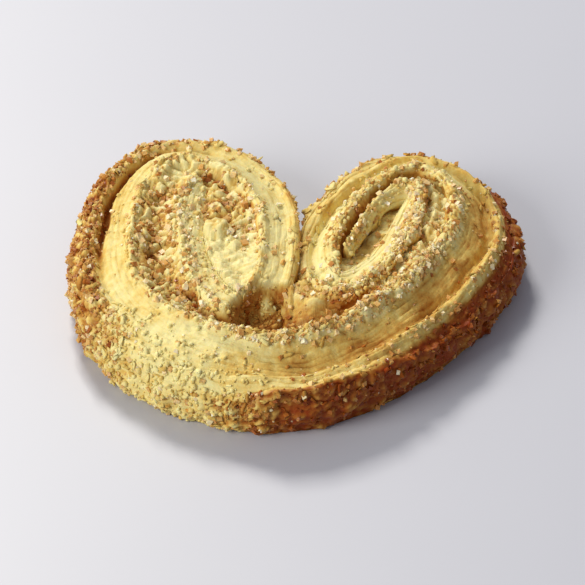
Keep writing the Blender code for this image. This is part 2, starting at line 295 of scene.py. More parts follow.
# Loose pieces: their number, and their sizes as (least, how much more, rarity of large ones)
RIM_GRAINS = 5200
RIM_GRAIN_SIZES = (0.00022, 0.00060, 2.8)
BED_GRAINS = 1100
BED_GRAIN_SIZES = (0.00028, 0.00070, 2.2)
CRUMBS = 1500
CRUMB_SIZES = (0.00034, 0.00076, 2.4)
FLAKES = 520
FLAKE_SIZES = (0.0007, 0.0010, 1.0)
SINK = 0.42  # share of a piece's thickness that is sunk in the surface
FLAKE_SINK = -0.4  # the flakes lie a little above it
SKEW = (0.62, 1.25)  # shares of their even distance from the middle that corners lie at
STRETCH = (0.65, 1.1)
FLAKE_BEND = (-0.2, 0.8)
FLAKE_TILT = 0.24
GRAIN_TINT = (0.20, 0.80)  # tint on the palest pastry, and how much more on the brownest
TINT_SPREAD = 0.15
# Clear grains are pale: partly clear sugar, partly painted glints
CLEAR_AND_GLINT_SHARE = 0.06
CLEAR_AND_GLINT_TINT = 0.12
BAKE_SPREAD = 0.09

SEED = 4


def eased(value, low, high):
    """0 up to low and 1 from high, smooth in between."""
    share = np.clip((value - low) / (high - low), 0.0, 1.0)
    return share * share * (3 - 2 * share)


def span(value, edges):
    """0 before the four edges and after them, and 1 between the middle two."""
    return eased(value, *edges[:2]) * (1 - eased(value, *edges[2:]))


def ridge(value, middle, half_width):
    """1 at middle, and 0 from half_width to either side of it."""
    beside = np.clip(np.abs(value - middle) / half_width, 0.0, 1.0)
    return (1 - beside * beside) ** 2


def rough(x, y, z, layer=0.0):
    """Smooth noise from about -1 to 1 at coordinates given in lumps. Each layer is another pattern."""
    x, y, z = np.broadcast_arrays(x, y, z)
    rows = np.column_stack([x.ravel(), y.ravel(), z.ravel()]) + layer
    return np.array([noise.noise(row) for row in rows.tolist()]).reshape(x.shape)


def lumps(place, size, layer=0.0):
    """Smooth noise at places, with lumps about size wide."""
    return rough(*np.moveaxis(place / size, -1, 0), layer)


def clods(place, layer):
    """Rounded sugar clods with creases between them, about 0 to 1."""
    total = 0.0
    for share, size in CLODS:
        total = total + share * np.minimum(CLOD_STEEPNESS * np.abs(lumps(place, size, layer)), CLOD_TOP)
        layer += 19.0
    return total


def unit(vectors):
    return vectors / np.linalg.norm(vectors, axis=1)[:, None]


def quarter_turn(start, start_way, end, end_way):
    """Points on the quarter ellipse that leaves start along start_way and reaches end along end_way."""
    reach = np.linalg.solve(np.column_stack([start_way, end_way]), end - start)
    centre = start + reach[1] * end_way
    angle = np.linspace(0, math.pi / 2, STEPS_PER_TURN, endpoint=False)[:, None]
    return centre + reach[0] * start_way * np.sin(angle) - reach[1] * end_way * np.cos(angle)


def lobe_stations(lobe):
    """(place, way, values) where the band passes, with values (half width, bed, falls outwards, order)."""
    side = lobe["side"]
    lean = math.radians(lobe["lean"])
    up = np.array([side * math.sin(lean), math.cos(lean)])
    out = np.array([side * math.cos(lean), -math.sin(lean)])
    ways = {"outer": up, "top": -out, "notch": -up, "turn": out, "inner": up, "tip": -out, "core": -up}
    first = (FOOT_HALF_WIDTH, lobe["channel_bed"], 1, 0)
    stations = [(np.array(FOOT), np.array([side, 0.0]), np.array(first))]
    for name, way in ways.items():
        if name in lobe:
            outwards, upwards, half_width = lobe[name]
            place = np.array(lobe["centre"]) + outwards * out + upwards * up
            bed = lobe["channel_bed"] if name in CHANNEL_STATIONS else lobe["core_bed"]
            values = (half_width, bed, FALLS_OUTWARDS[name], len(stations))
            stations.append((place, way, np.array(values)))
    return stations


def lobe_route(lobe):
    """The band's middle line and its values, from the foot to the end inside one lobe."""
    stations = lobe_stations(lobe)
    share = np.linspace(0, 1, STEPS_PER_TURN, endpoint=False)[:, None]
    blend = eased(share, 0, 1)
    points = []
    values = []
    for (start, start_way, before), (end, end_way, after) in zip(stations, stations[1:]):
        points.append(quarter_turn(start, start_way, end, end_way))
        values.append(before + (after - before) * blend)
    end, end_way, end_values = stations[-1]
    run = np.linspace(0, lobe.get("tail", 0), STEPS_PER_TURN if "tail" in lobe else 1)[:, None]
    points.append(end + run * end_way)
    narrowed = 1 - TAIL_NARROWING * run / max(run[-1, 0], MM)
    values.append(end_values * np.column_stack([narrowed] + [np.ones_like(run)] * 3))
    return np.concatenate(points), np.concatenate(values)


class Route:
    """The band from the left end to the right one, in even steps, with the heart's outside on its right."""

    def __init__(self):
        left, left_values = lobe_route(LEFT_LOBE)
        right, right_values = lobe_route(RIGHT_LOBE)
        points = np.concatenate([left[::-1], right[1:]])
        values = np.concatenate([left_values[::-1], right_values[1:]])
        foot = len(left) - 1
        steps = np.linalg.norm(np.diff(points, axis=0), axis=1)
        length = np.concatenate([[0], np.cumsum(steps)])
        length -= length[foot]
        to_notch = 3 * STEPS_PER_TURN
        self.notches = (length[foot - to_notch], length[foot + to_notch])
        self.length = np.arange(length[0], length[-1], RING_STEP)
        columns = np.column_stack([points, values])
        even = np.column_stack([np.interp(self.length, length, column) for column in columns.T])
        self.points = even[:, :2]
        self.half_widths, self.beds, self.falls, self.order = even[:, 2:].T
        ways = unit(np.gradient(self.points, axis=0))
        self.outwards = np.column_stack([ways[:, 1], -ways[:, 0]])
        heading = np.unwrap(np.arctan2(ways[:, 1], ways[:, 0]))
        bend = np.convolve(np.gradient(heading, RING_STEP), np.ones(BEND_RINGS) / BEND_RINGS, mode="same")
        self.radius = 1 / np.clip(bend, LEAST_BEND, None)

    def nearest(self, places, numbers=None):
        """For each (x, y): the nearest route point, the gap to its band's edge, and the side (1 outside)."""
        numbers = np.arange(len(self.points)) if numbers is None else numbers
        found = np.empty(len(places), int)
        gap = np.empty(len(places))
        for start in range(0, len(places), BLOCK):
            chosen = slice(start, start + BLOCK)
            block = places[chosen]
            gaps = np.linalg.norm(block[:, None, :] - self.points[None, numbers, :], axis=2)
            gaps -= self.half_widths[numbers]
            best = gaps.argmin(1)
            found[chosen] = numbers[best]
            gap[chosen] = gaps[np.arange(len(block)), best]
        side = np.sign(((places - self.points[found]) * self.outwards[found]).sum(1))
        return found, gap, side


def band_section():
    """(across, share of the height) round the section, from the foot of its outer wall."""
    round_share = EDGE_ROUND / CREST_HEIGHT
    share = np.linspace(0, 1, WALL_STEPS, endpoint=False)
    foot = WALL_FOOT + (1 - WALL_FOOT) * eased(share, 0.0, WALL_FOOT_SHARE)
    wall = np.column_stack([foot + WALL_BULGE * np.sin(math.pi * share), share * (1 - round_share)])
    reach = math.pi / 2 * TOP_SPREAD
    across = np.sin(np.linspace(1, -1, TOP_STEPS) * reach) / math.sin(reach)
    rounding = 1 - np.sqrt(np.clip(1 - np.abs(across) ** EDGE_SQUARENESS, 0, None))
    top = np.column_stack([across, 1 - round_share * rounding])
    under = np.linspace(-WALL_FOOT, WALL_FOOT, UNDER_STEPS + 2)[1:-1]
    under = np.column_stack([under, np.zeros(UNDER_STEPS)])
    return np.concatenate([wall, top, wall[::-1] * [-1, 1], under])


def section_facing(section):
    """The outward normal, as (across, up), at each point of the section."""
    form = section * [SECTION_HALF_WIDTH, CREST_HEIGHT]
    way = np.roll(form, -1, axis=0) - np.roll(form, 1, axis=0)
    return unit(np.column_stack([way[:, 1], -way[:, 0]]))


def held_down(height):
    """Heights that end just above the solid's top."""
    over = np.clip(height - HELD_FROM, 0, None)
    return np.minimum(height, HELD_FROM) + HELD_RANGE * np.tanh(over / HELD_RANGE)


def top_height(across, falls_outwards):
    """The height of the band's top, which falls from its crest to its outer or its inner edge."""
    place = np.clip(across, -1, 1)
    outwards = ((1 + place) / 2) ** FALL_CURVE
    inwards = ((1 - place) / 2) ** FALL_CURVE
    return CREST_HEIGHT - CREST_FALL * (falls_outwards * outwards + (1 - falls_outwards) * inwards)


def inwards_held(offset, radius):
    """Keeps the inner side short of the middle of a tight turn, so that it never folds over itself."""
    return np.where(offset < 0, -radius * np.tanh(-offset / radius), offset)


def smoothed(values, rounds):
    """Each value becomes the mean of its four neighbours, and again for every round."""
    for _ in range(rounds):
        padded = np.pad(values, 1, mode="edge")
        values = (padded[:-2, 1:-1] + padded[2:, 1:-1] + padded[1:-1, :-2] + padded[1:-1, 2:]) / 4
    return values


def cell_corners(values):
    """The values at the four corners of every cell of a grid, in order round it."""
    return np.stack([values[:-1, :-1], values[1:, :-1], values[1:, 1:], values[:-1, 1:]], axis=-1)


class Band:
    """The pastry band as arrays of rings by section points, in the route's own frame."""

    def __init__(self, route):
        section = band_section()
        facing = section_facing(section)
        self.across, self.length = np.meshgrid(section[:, 0], route.length)
        self.share, upwards = (values + 0 * self.across for values in (section[:, 1], facing[:, 1]))
        self.falls, self.order = (values[:, None] + 0 * self.across for values in (route.falls, route.order))
        self.numbers = np.arange(self.across.size).reshape(self.across.shape)
        self.right = eased(self.length, *RIGHT_SIDE)
        self.width = route.half_widths[:, None]
        self.offset = inwards_held(self.across * self.width, route.radius[:, None])
        self.top = eased(upwards, *TOP_FACING)
        self.under = eased(-upwards, *UNDER_FACING)
        self.wall = 1 - self.top - self.under
        self.rim = self.wall * ((self.across > 0) & (np.abs(self.length) < route.notches[1]))
        place = route.points[:, None, :] + self.offset[..., None] * route.outwards[:, None, :]
        height = top_height(self.across, self.falls) - self.bevels(place)
        tucked = TUCK * ridge(self.length, *TUCK_BUMP) * self.rim * (1 - self.share) ** TUCK_CURVE
        place = place - tucked[..., None] * route.outwards[:, None, :]
        self.place = np.dstack([place, self.share * height])
        self.facing = np.dstack([facing[None, :, 0:1] * route.outwards[:, None, :], upwards])
        self.find_parts()
        self.find_crests()
        self.find_leaves()
        self.find_sugar()
        self.find_browning()
        self.find_loose_pieces()
        self.move()

    def by_side(self, values):
        """The first of two values in the left lobe, the second in the foot and in the right one."""
        return values[0] + (values[1] - values[0]) * self.right

    def bevels(self, place):
        """How far the outer edges are baked down, and where that shows."""
        self.front = span(self.length, FRONT_SPAN)
        self.steep = span(self.length, STEEP_SPAN) * eased(self.across, *STEEP_ACROSS)
        self.scroll_edge = span(self.length, SCROLL_EDGE_SPAN) * eased(self.across, *SCROLL_ACROSS)
        left = (self.length < 0) * eased(self.order, *SCOOP_ORDER)
        reach = np.linalg.norm(place - SCOOP_AT, axis=-1)
        self.scooped = left * (1 - eased(reach, SCOOP_RADIUS - SCOOP_EDGE, SCOOP_RADIUS))
        self.lump = left * ridge(np.linalg.norm(place - LUMP_AT, axis=-1), 0, LUMP_RADIUS)
        down = FRONT_BEVEL * self.front * eased(self.across, *FRONT_ACROSS) + STEEP_BEVEL * self.steep
        down += SCOOP_DEPTH * self.scooped - LUMP_HEIGHT * self.lump
        return down + SCROLL_BEVEL * self.scroll_edge

    def find_parts(self):
        """Where the groove, the outer leaf beside it, the trough and the sugared scrolls lie."""
        wander = rough(self.length / GROOVE_WANDER, 0, 0)
        wiggle = rough(self.length / GROOVE_WIGGLE_LENGTH, 0, 0, 3.0)
        groove_at = self.by_side(GROOVE_ACROSS) + GROOVE_WIGGLE * wiggle
        opening = np.interp(self.length / MM, *np.array(GROOVE_OPENING).T) * self.falls
        groove = ridge(self.across, groove_at, GROOVE_HALF_WIDTH / self.width)
        self.groove = groove * opening * np.clip(0.9 + 0.5 * wander, 0, 1.2)
        leaf_begins = groove_at + OUTER_LEAF_FROM * GROOVE_HALF_WIDTH / self.width
        self.leaf = eased(self.across, leaf_begins, leaf_begins + OUTER_LEAF_EDGE / self.width) * self.falls
        trough = ridge(self.across, self.by_side(TROUGH_ACROSS), TROUGH_HALF_WIDTH)
        self.trough = trough * self.falls * (0.9 + 0.4 * wander)
        right = span(self.order, RIGHT_SCROLL_SPAN) * eased(self.across, *RIGHT_SCROLL_ACROSS)
        self.right_scroll = (self.length > 0) * right
        left = eased(self.order, *LEFT_TURN_ORDER) * eased(self.across, *LEFT_TURN_ACROSS)
        self.left_scroll = (self.length < 0) * np.maximum(left, eased(self.order, *LEFT_TIP_ORDER))
        self.scroll = np.maximum(self.right_scroll, 0.45 * self.left_scroll)
        self.crumbly = self.front * eased(self.across, *CRUMBLY_ACROSS)

    def find_crests(self):
        """Where the crests beside the band's edges lie, and their lumps."""
        self.along = rough(self.length / CREST_LUMP, self.across * 0.4, 0, 5.0)
        outer = ridge(self.across, self.by_side(OUTER_CREST_ACROSS), OUTER_CREST_HALF_WIDTH / self.width)
        self.outer_crest = outer * self.falls
        inner_at = np.where(self.falls > 0.5, *INNER_CREST_ACROSS)
        inner = ridge(self.across, inner_at, self.by_side(INNER_CREST_HALF_WIDTH) / self.width)
        inner = inner * np.where((self.length < 0) & (self.falls < 0.5), 0.3, 1.0)
        foot = span(self.length, FOOT_SPAN)
        self.inner_crest = inner * (1 + 0.7 * foot)
        self.foot_crest = foot * eased(self.inner_crest, 0.0, 0.4)
        self.crest = self.inner_crest * np.clip(0.8 + 0.8 * self.along, 0, 1.2)

    def find_leaves(self):
        """Leaves seen edge on: each has its own height, with a gap beside it, and both change along it."""
        phase = self.offset / LEAF_PITCH
        for share, length, width, layer in (LEAF_BEND, LEAF_WOBBLE):
            phase = phase + share * rough(self.length / length, self.offset / width, 0, layer)
        share, length, width, layer = LEAF_CROWDING
        phase = phase + share * rough(self.offset / width, 0, self.length / length, layer)
        number = np.floor(phase)
        body = span(phase - number, LEAF_BODY)
        self.leaf_level = rough(number * 3.71, self.length / LEAF_LEVEL_LENGTH, 0, 37.0)
        gap = np.clip(0.8 + 1.3 * rough(number * 1.93, self.length / LEAF_GAP_LENGTH, 0, 43.0), 0.1, 1.5)
        self.leaf_gap = (1 - body) * gap
        leaves = LEAF_RISE * self.leaf_level * body - LEAF_GAP * self.leaf_gap
        self.leaves = leaves * self.by_side(LEAVES_BY_SIDE)

    def find_sugar(self):
        """How much melted sugar covers each point, as a share."""
        at, *browning = np.array(RIM_BROWNING).T
        self.wall_brown, self.leaf_brown = (np.interp(self.length / MM, at, row) for row in browning)
        self.dark = eased(self.wall_brown, *DARK_WALL)
        self.sugared_leaf = self.leaf * eased(self.leaf_brown, 0.12, 0.5)
        on_leaf = self.sugared_leaf * np.where(self.length < 0, 1.0, 0.45)
        parts = (on_leaf, 0.75 * self.crest, self.scroll, 0.6 * self.steep, 0.9 * self.foot_crest)
        sugar = np.maximum.reduce(parts) * self.top
        sugar += self.rim * eased(self.wall_brown, 0.1, 0.55) * (1 - 0.12 * self.dark)
        sugar += 0.3 * (self.wall - self.rim)
        self.sugar = np.clip(sugar + 0.25 * self.under, 0, 1)

    def find_browning(self):
        """How brown each point is, with painted shade in places: on top, the brownest of the parts that meet
        there.
        """
        patch = rough(self.length / BROWN_PATCH, self.across, self.share, 71.0)
        # Painted shade on the top: darker on the left band, where the lights fall too brightly; on the right
        # slope, which faces away from the key light, with some real browning; and on the right scroll's edge
        # above the pocket, with real browning
        slope = self.right * ridge(self.across, 0.1, 1.0) * (1 - eased(self.order, 1.3, 2.0))
        plain = BAKED["top"] + BAKED["left band's painted shade"] * ridge(self.length, *LEFT_BAND_SHADE_BUMP) + 0.15 * patch
        plain = plain + BAKED["right slope's painted shade"] * slope + BAKED["scroll edge and its painted shade"] * self.scroll_edge
        parts = (
            plain,
            self.leaf * self.leaf_brown * (1 + 0.35 * patch),
            BAKED["inner crest"] * np.clip(self.crest, 0, 1.2),
            (BAKED["outer crest"] + 0.2 * self.along) * self.outer_crest * (1 - self.crumbly),
            (BAKED["foot crest"] + 0.14 * patch) * self.foot_crest,
            BAKED["right scroll"] * self.right_scroll,
            BAKED["left scroll"] * self.left_scroll,
            # the sunk corner by the pocket: real browning with painted shade, less on the pale sugar lump
            BAKED["scoop and its painted shade"] * np.clip(3 * self.scooped, 0, 1) * (1 - 0.8 * eased(self.lump, 0.1, 0.6)),
            # the groove: real browning with painted shade in its dip
            self.by_side(BAKED["groove"]) * np.clip(1.4 * self.groove, 0, 1),
            self.wall_brown * eased(self.steep, 0.05, 0.7),
        )
        # painted shade: darker in the gaps between leaves and paler on the higher leaves
        leaves = (0.16 * self.leaf_gap - 0.08 * self.leaf_level) * self.by_side(LEAVES_BY_SIDE)
        top = np.maximum.reduce(parts) + leaves
        inside = BAKED["inside wall"] + BAKED["inside wall's foot"] * (1 - self.share)
        wall = np.where(self.rim > 0, self.wall_brown * (1 + 0.18 * patch), inside)
        under = BAKED["underside"] + 0.25 * patch
        self.bake = top * self.top + wall * self.wall + under * self.under

    def find_loose_pieces(self):
        """How thickly grains, crumbs and flakes lie at each point."""
        on_leaf = self.sugared_leaf * np.where(self.length < 0, 1.0, 0.5)
        on_top = 0.06 + 0.5 * self.foot_crest + 0.9 * on_leaf + 0.6 * self.crest + 0.8 * self.scroll
        on_rim = self.rim * (0.25 + 0.45 * eased(self.wall_brown, 0.15, 0.6)) * eased(self.share, 0.05, 0.2)
        self.grains = on_top * self.top + on_rim * (1 - 0.62 * self.dark)
        lying = self.top + self.rim * eased(self.share, 0.02, 0.1)
        crumbs = 0.02 + 0.25 * self.scroll + 0.25 * self.crest + 0.42 * self.crumbly + 0.8 * self.scooped
        self.crumbs = crumbs * lying * (1 - 0.8 * self.dark)
        on_crests = self.top * (0.6 * self.outer_crest + 0.8 * self.crest)
        edge = self.rim * eased(self.share, 0.45, 0.9) + on_crests
        self.flakes = edge + 0.5 * self.crumbly * lying + 0.03 * self.top

    def move(self):
        """Moves every point of the plain band by the relief of the baked pastry."""
        x, y, z = np.moveaxis(self.place, -1, 0)
        lump = lumps(self.place, CRUST_LUMPS[1])
        swell = lumps(self.place, BAND_SWELL[1], [0, 0, 3.0])
        crag = lumps(self.place, RIM_CRAGS[1], [0, 0, 7.0])
        crumb = lumps(self.place, CRUMB_RELIEF[1], 31.0) + lumps(self.place, 2 * CRUMB_RELIEF[1], 33.0)
        clod = clods(self.place, 47.0)
        rough_share = np.clip(self.sugar + 0.5 * self.crumbly, 0, 1)
        rise = swell * BAND_SWELL[0] + lump * CRUST_LUMPS[0] + crumb * CRUMB_RELIEF[0]
        rise += self.leaves * (1 - 0.85 * rough_share)
        rise += CLOD_RISE * (clod - 0.35) * rough_share
        rise -= self.groove * GROOVE_DEPTH
        rise -= self.trough * self.by_side(TROUGH_DEPTH)
        rise += self.outer_crest * self.by_side(OUTER_CREST_HEIGHT) * (0.8 + 1.0 * self.along)
        rise += self.inner_crest * INNER_CREST_HEIGHT * (0.8 + 0.8 * self.along)
        streak = rough(self.length / STREAK_SIZE[0], z / STREAK_SIZE[1], self.falls, 41.0)
        push = crag * RIM_CRAGS[0] + (1 - 2.4 * np.abs(streak)) * STREAK_HEIGHT * self.rim
        push += CLOD_RISE * (clod - 0.45) * self.rim * rough_share
        dent = rough(x / UNDER_DENTS[1], y / UNDER_DENTS[1], 0, 61.0)
        sunk = UNDER_SUNK + UNDER_DENTS[0] * dent - 0.4 * self.leaves
        move = self.facing * (push * self.wall)[..., None]
        move[..., 2] = rise * self.top + np.clip(sunk, 0, None) * self.under
        self.place = self.place + move
        self.place[..., 2] = held_down(np.clip(self.place[..., 2], 0, None))
        # painted shade: darker in the creases between sugar clods and paler on their tops
        crease_shade = (self.sugar + 0.2 * self.crumbly) * (0.42 - clod)
        uneven = 0.10 * streak * self.wall + 0.06 * lump + 0.10 * crumb * self.top
        self.bake = np.clip(self.bake + 0.55 * crease_shade + uneven, 0, 1)

    def faces(self):
        """Four point numbers for each face between two rings."""
        return cell_corners(np.column_stack([self.numbers, self.numbers[:, :1]])).reshape(-1, 4)

    def spots(self, density, count, draw):
        """Random places on the band."""
        return Spots(self.place.reshape(-1, 3), self.faces(), density.ravel(), self.bake.ravel(), count, draw)


def added(name, data):
    """A new object of the scene."""
    made = bpy.data.objects.new(name, data)
    bpy.context.scene.collection.objects.link(made)
    return made


def filled_mesh(name, points, faces, ends=()):
    """A mesh from arrays, moved into the part's frame, with optional end caps."""
    placed = points.reshape(-1, 3) + [*HEART_SHIFT, 0.0]
    mesh = bpy.data.meshes.new(name)
    mesh.from_pydata(placed.tolist(), [], [*faces.tolist(), *ends])
    mesh.update()
    return added(name, mesh)


def keep_value(obj, name, values):
    """Stores one number for each point of obj, for its material to read."""
    attribute = obj.data.attributes.new(name, "FLOAT", "POINT")
    attribute.data.foreach_set("value", np.ascontiguousarray(values, dtype=np.float32).ravel())


def make_band(band):
    ends = [band.numbers[0].tolist(), band.numbers[-1, ::-1].tolist()]
    made = filled_mesh("palmier_pastry", band.place, band.faces(), ends)
    keep_value(made, "bake", band.bake)
    keep_value(made, "sugar", band.sugar)
    keep_value(made, "across_mm", band.offset / MM)
    keep_value(made, "along_mm", band.length / MM)
    made.data.shade_smooth()
    return made


class Bed:
    """The sugar between the turns of the band, as a grid of heights inside the heart."""

    def __init__(self, route):
        axis = np.arange(-BED_REACH, BED_REACH, BED_STEP)
        self.x, self.y = np.meshgrid(axis, axis, indexing="ij")
        shape = self.x.shape
        places = np.column_stack([self.x.ravel(), self.y.ravel()])
        number, gap, side = route.nearest(places)
        on_rim = (route.length > route.notches[0]) & (route.length < route.notches[1])
        rim_number, rim_gap, rim_side = route.nearest(places, np.nonzero(on_rim)[0])
        past_end = (number == 0) | (number == len(route.points) - 1)
        self.kept = (((gap > -BED_OVERLAP) | past_end) & (rim_side < 0)).reshape(shape)
        in_core = ~on_rim[number] & ((side < 0) | past_end)
        fill = CORE_FILL + CORE_FILL_MORE * eased(places[:, 1], *CORE_FILL_FROM)
        core_height = route.beds[number] + (places[:, 0] > 0) * fill
        along = route.length[rim_number]
        full = np.where(along < 0, eased(-along, *POCKET_ALONG), eased(along, *POCKET_ALONG_RIGHT))
        slope = SLOPE_TOP * eased(rim_gap, *SLOPE_INWARDS) * eased(along, *SLOPE_ALONG)
        self.slope = np.where(in_core, 0.0, slope * (1 - full)).reshape(shape)
        full = np.maximum(full, slope)
        height = POCKET_HEIGHT + (route.beds[rim_number] - POCKET_HEIGHT) * full
        height = np.where(in_core, core_height, height).reshape(shape)
        self.channel = np.where(in_core, 0.0, full).reshape(shape)
        self.heaped = np.where(in_core, 0.0, eased(along, *HEAPED_ALONG)).reshape(shape)
        self.gap = np.clip(gap, 0, None).reshape(shape)
        self.height = smoothed(height, HEIGHT_ROUNDS)
        self.full = smoothed(np.where(in_core, 1.0, full).reshape(shape), FULL_ROUNDS)
        self.find_parts()
        self.find_relief()

    def find_parts(self):
        """Where the sugar is pale, browner or smoother, and how high it is heaped."""
        left = self.x < 0
        core = (1 - self.channel) * self.full
        behind = eased(self.y, *CORE_BEHIND)
        reach = np.hypot(self.x - CORE_LUMP_AT[0], self.y - CORE_LUMP_AT[1])
        lump = np.sqrt(ridge(reach, 0, CORE_LUMP_RADIUS))
        in_channel = 0.6 * self.channel * left * eased(self.y, *PALE_CHANNEL)
        self.pale = np.maximum.reduce((core * left * (1 - behind), in_channel, 0.9 * eased(lump, 0.0, 0.5)))
        self.smooth = np.maximum.reduce((0.6 * self.pale, core * ~left, np.clip(1.5 * self.slope, 0, 1)))
        self.browner = 0.10 * core * left * behind + 0.06 * self.channel * left * self.full
        self.heap = HEAP * eased(self.gap, *EDGE_GAP) * self.heaped + HEAP * self.pale
        self.heap += CORE_LUMP_HEIGHT * lump
        edge_fill = EDGE_FILL * left * np.where(self.channel > 0, self.channel, 0.3 * self.full)
        self.heap += edge_fill * (1 - eased(self.gap, *EDGE_GAP))

    def find_relief(self):
        """The final heights, how brown the sugar is, with painted shade in its low places, and how thickly
        grains lie on it.
        """
        place = np.dstack([self.x, self.y, self.height])
        lump = lumps(place, BED_LUMPS[1])
        clod = clods(place, 83.0)
        grit = lumps(place, BED_GRIT[1], 29.0)
        hole = eased(lumps(place, BED_HOLES[1], 97.0), *HOLES_OPEN)
        loose = 0.2 + 0.8 * self.full
        rise = lump * BED_LUMPS[0] + self.heap
        rise = rise + (clod - 0.4) * BED_CLODS * loose * (1 - 0.65 * self.smooth) + grit * BED_GRIT[0]
        self.top = held_down(self.height + rise - BED_HOLES[0] * hole * self.full * (1 - self.smooth))
        self.bottom = UNDER_RECESS + UNDER_LUMPS * lump + UNDER_CLODS * (0.5 - clod)
        patch = rough(self.x / BED_PATCH, self.y / BED_PATCH, 0, 55.0)
        brown_and_shade = BAKED["bed"] + self.browner - 0.24 * self.pale - 0.12 * self.heaped
        # painted shade: darker where the bed lies low in the pocket, in the creases between clods and in the
        # holes
        brown_and_shade = brown_and_shade + 0.16 * patch + 0.55 * (1 - self.full)
        brown_and_shade += 0.60 * (0.42 - clod) * (1 - 0.5 * self.smooth) + 0.25 * hole * (1 - self.smooth)
        self.bake = np.clip(brown_and_shade, 0, 1)
        self.grains = (0.12 + eased(self.bake, 0.12, 0.4)) * (1 - 0.75 * self.smooth)


def make_bed(bed, draw):
    """Closes the bed's top and bottom heights into one slab, and picks spots on its top."""
    cells = cell_corners(bed.kept).all(axis=-1)
    used = np.zeros_like(bed.kept)
    for row, column in ((0, 0), (1, 0), (1, 1), (0, 1)):
        used[row : row + cells.shape[0], column : column + cells.shape[1]] |= cells
    number = np.full(bed.kept.shape, -1)
    below = int(used.sum())
    number[used] = np.arange(below)
    corner = cell_corners(number)[cells]
    edges = np.concatenate([corner[:, [start, (start + 1) % 4]] for start in range(4)])
    known = {(start, end) for start, end in edges.tolist()}
    rim = np.array([(start, end) for start, end in edges.tolist() if (end, start) not in known])
    walls = np.column_stack([rim[:, 1], rim[:, 0], rim[:, 0] + below, rim[:, 1] + below])
    faces = np.concatenate([corner, corner[:, ::-1] + below, walls])
    sheets = [np.column_stack([bed.x[used], bed.y[used], height[used]]) for height in (bed.top, bed.bottom)]
    points = np.concatenate(sheets)
    made = filled_mesh("palmier_sugar_bed", points, faces)
    bake = bed.bake[used]
    keep_value(made, "bake", np.concatenate([bake, bake * 0.5 + 0.4]))
    keep_value(made, "sugar", np.ones(2 * below))
    keep_value(made, "across_mm", points[:, 0] / MM)
    keep_value(made, "along_mm", points[:, 1] / MM)
    made.data.shade_smooth()
    return made, Spots(points, corner, bed.grains[used], bake, BED_GRAINS, draw)


CUBE_CORNERS = np.array([(x, y, z) for x in (-0.5, 0.5) for y in (-0.5, 0.5) for z in (-0.5, 0.5)])
CUBE_FACES = np.array([(0, 1, 3, 2), (4, 6, 7, 5), (0, 4, 5, 1), (2, 3, 7, 6), (0, 2, 6, 4), (1, 5, 7, 3)])
FLAKE_ENDS = np.array([(0, 1, 3, 2), (12, 14, 15, 13)])
FLAKE_SIDES = np.array([(0, 4, 5, 1), (1, 5, 7, 3), (3, 7, 6, 2), (2, 6, 4, 0)])
FLAKE_WIDTH, FLAKE_THICKNESS = 0.5, 0.10  # as shares of its length


def crumb_shape():
    """A ball of 20 triangles, 1 across."""
    ball = bmesh.new()
    bmesh.ops.create_icosphere(ball, subdivisions=1, radius=0.5)
    corners = np.array([tuple(vertex.co) for vertex in ball.verts])
    faces = np.array([[vertex.index for vertex in face.verts] for face in ball.faces])
    ball.free()
    return corners, faces


def flake_shape():
    """A thin plate of three steps, 1 long and narrower towards its ends."""
    along, across, up = np.meshgrid(np.linspace(-0.5, 0.5, 4), (-0.5, 0.5), (-0.5, 0.5), indexing="ij")
    width = FLAKE_WIDTH * (1.15 - 0.9 * np.abs(along))
    corners = np.stack([along, across * width, up * FLAKE_THICKNESS], axis=-1).reshape(-1, 3)
    faces = np.concatenate([FLAKE_ENDS] + [FLAKE_SIDES + start for start in (0, 4, 8)])
    return corners, faces


class Spots:
    """Random places on a surface, more of them where density is high, with normals and browning, painted
    shade included.
    """

    def __init__(self, points, faces, density, bake, count, draw):
        corners = points[faces]
        normal = np.cross(corners[:, 2] - corners[:, 0], corners[:, 3] - corners[:, 1])
        area = np.linalg.norm(normal, axis=1)
        normal /= np.maximum(area, 1e-15)[:, None]
        weight = area * density[faces].mean(1)
        chosen = draw.choice(len(faces), size=count, p=weight / weight.sum())
        u, v = draw.random((2, count, 1))
        corners = corners[chosen]
        near = corners[:, 0] * (1 - u) + corners[:, 1] * u
        far = corners[:, 3] * (1 - u) + corners[:, 2] * u
        self.count = count
        self.places = near * (1 - v) + far * v
        self.normals = normal[chosen]
        self.bake = bake[faces[chosen]].mean(1)


def random_turns(count, draw):
    """Rotation matrices in random directions."""
    first = unit(draw.normal(size=(count, 3)))
    second = unit(np.cross(first, draw.normal(size=(count, 3))))
    return np.stack([first, second, np.cross(first, second)], axis=-1)


def lying_turns(normals, draw):
    """Rotation matrices whose third axis is near the normals."""
    third = unit(normals + draw.normal(scale=FLAKE_TILT, size=normals.shape))
    first = unit(np.cross(third, draw.normal(size=normals.shape)))
    return np.stack([first, np.cross(third, first), third], axis=-1)


